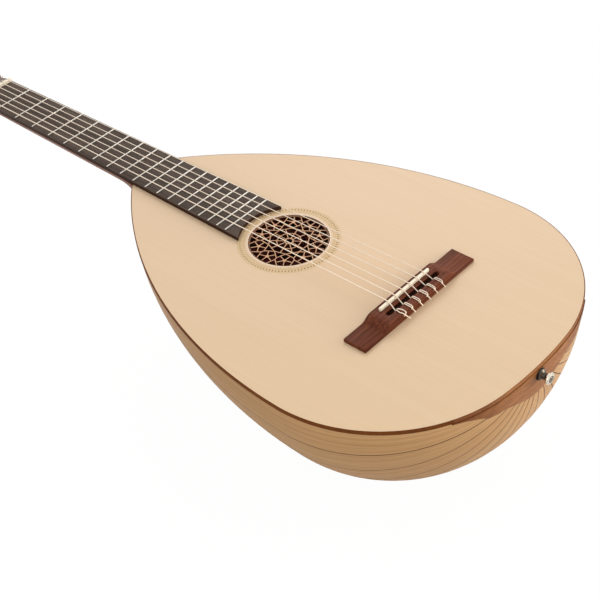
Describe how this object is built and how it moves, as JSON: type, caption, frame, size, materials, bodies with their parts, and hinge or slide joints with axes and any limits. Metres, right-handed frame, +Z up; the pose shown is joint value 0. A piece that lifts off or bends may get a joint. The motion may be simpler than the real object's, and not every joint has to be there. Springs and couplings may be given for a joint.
{
  "type": "lute guitar",
  "caption": "Lute-bodied guitar: round ribbed bowl, spruce top with a pierced rose, tied bridge, guitar neck with metal frets and a slotted head with open-gear tuners.",
  "frame": {"origin": "bottom centre of the bounding box, under the bowl", "axes": "+Y along the strings from the tail to the head, +X to the treble side, +Z up out of the top"},
  "size_m": [0.3772, 1.0124, 0.1868],
  "materials": {
    "soundboard": "satin",
    "rosette_ring": "satin",
    "rose": "satin",
    "edge_binding": "gloss",
    "end_clasp": "gloss",
    "block": "raw",
    "bar": "raw",
    "bridge": "satin",
    "strap_pin": "polished",
    "pin_washer": "matt felt",
    "neck": "satin",
    "fingerboard": "satin, with metal frets",
    "head_veneer": "gloss",
    "tuner_metal": "satin",
    "rib": "gloss lacquer",
    "bone": "bone, satin",
    "bass_string": "wound",
    "treble_string": "clear nylon",
    "button": "pearl",
    "roller": "bone colour"
  },
  "bodies": {
    "guitar": {"soundboard": "soundboard", "rosette_ring": "rosette_ring", "rose": "rose", "edge_binding": "edge_binding", "end_clasp": "end_clasp", "tail_block": "block", "neck_block": "block", "top_bar_1": "bar", "top_bar_2": "bar", "top_bar_3": "bar", "bridge": "bridge", "saddle": "bone", "strap_pin": "strap_pin", "pin_washer": "pin_washer", "neck": "neck", "fingerboard": "fingerboard", "nut": "bone", "head_veneer": "head_veneer", "tuner_plate_bass": "tuner_metal", "tuner_plate_treble": "tuner_metal", "rib_01": "rib", "rib_02": "rib", "rib_03": "rib", "rib_04": "rib", "rib_05": "rib", "rib_06": "rib", "rib_07": "rib", "rib_08": "rib", "rib_09": "rib", "rib_10": "rib", "rib_11": "rib", "rib_12": "rib", "rib_13": "rib", "rib_14": "rib", "rib_15": "rib", "string_1": "bass_string", "string_2": "bass_string", "string_3": "bass_string", "string_4": "treble_string", "string_5": "treble_string", "string_6": "treble_string"},
    "button_bass_1": {"button_bass_1": "button", "worm_bass_1": "tuner_metal"},
    "roller_bass_1": {"roller_bass_1": "roller"},
    "button_bass_2": {"button_bass_2": "button", "worm_bass_2": "tuner_metal"},
    "roller_bass_2": {"roller_bass_2": "roller"},
    "button_bass_3": {"button_bass_3": "button", "worm_bass_3": "tuner_metal"},
    "roller_bass_3": {"roller_bass_3": "roller"},
    "button_treble_1": {"button_treble_1": "button", "worm_treble_1": "tuner_metal"},
    "roller_treble_1": {"roller_treble_1": "roller"},
    "button_treble_2": {"button_treble_2": "button", "worm_treble_2": "tuner_metal"},
    "roller_treble_2": {"roller_treble_2": "roller"},
    "button_treble_3": {"button_treble_3": "button", "worm_treble_3": "tuner_metal"},
    "roller_treble_3": {"roller_treble_3": "roller"}
  },
  "joints": [
    {"name": "button_bass_1_turn", "type": "hinge", "parent": "guitar", "child": "button_bass_1", "pos_m": [-0.041, 0.36341, 0.15081], "axis": [0, 0.2588, 0.9659], "continuous": true},
    {"name": "roller_bass_1_turn", "type": "hinge", "parent": "guitar", "child": "roller_bass_1", "pos_m": [-0.041, 0.3702, 0.14899], "axis": [1, 0, 0], "continuous": true},
    {"name": "button_bass_2_turn", "type": "hinge", "parent": "guitar", "child": "button_bass_2", "pos_m": [-0.041, 0.39721, 0.14175], "axis": [0, 0.2588, 0.9659], "continuous": true},
    {"name": "roller_bass_2_turn", "type": "hinge", "parent": "guitar", "child": "roller_bass_2", "pos_m": [-0.041, 0.40401, 0.13993], "axis": [1, 0, 0], "continuous": true},
    {"name": "button_bass_3_turn", "type": "hinge", "parent": "guitar", "child": "button_bass_3", "pos_m": [-0.041, 0.43102, 0.13269], "axis": [0, 0.2588, 0.9659], "continuous": true},
    {"name": "roller_bass_3_turn", "type": "hinge", "parent": "guitar", "child": "roller_bass_3", "pos_m": [-0.041, 0.43781, 0.13087], "axis": [1, 0, 0], "continuous": true},
    {"name": "button_treble_1_turn", "type": "hinge", "parent": "guitar", "child": "button_treble_1", "pos_m": [0.041, 0.36341, 0.15081], "axis": [0, 0.2588, 0.9659], "continuous": true},
    {"name": "roller_treble_1_turn", "type": "hinge", "parent": "guitar", "child": "roller_treble_1", "pos_m": [0.041, 0.3702, 0.14899], "axis": [1, 0, 0], "continuous": true},
    {"name": "button_treble_2_turn", "type": "hinge", "parent": "guitar", "child": "button_treble_2", "pos_m": [0.041, 0.39721, 0.14175], "axis": [0, 0.2588, 0.9659], "continuous": true},
    {"name": "roller_treble_2_turn", "type": "hinge", "parent": "guitar", "child": "roller_treble_2", "pos_m": [0.041, 0.40401, 0.13993], "axis": [1, 0, 0], "continuous": true},
    {"name": "button_treble_3_turn", "type": "hinge", "parent": "guitar", "child": "button_treble_3", "pos_m": [0.041, 0.43102, 0.13269], "axis": [0, 0.2588, 0.9659], "continuous": true},
    {"name": "roller_treble_3_turn", "type": "hinge", "parent": "guitar", "child": "roller_treble_3", "pos_m": [0.041, 0.43781, 0.13087], "axis": [1, 0, 0], "continuous": true}
  ],
  "couplings": [
    {"joint": "roller_bass_1_turn", "follows": "button_bass_1_turn", "ratio": -0.071429},
    {"joint": "roller_bass_2_turn", "follows": "button_bass_2_turn", "ratio": -0.071429},
    {"joint": "roller_bass_3_turn", "follows": "button_bass_3_turn", "ratio": -0.071429},
    {"joint": "roller_treble_1_turn", "follows": "button_treble_1_turn", "ratio": 0.071429},
    {"joint": "roller_treble_2_turn", "follows": "button_treble_2_turn", "ratio": 0.071429},
    {"joint": "roller_treble_3_turn", "follows": "button_treble_3_turn", "ratio": 0.071429}
  ]
}
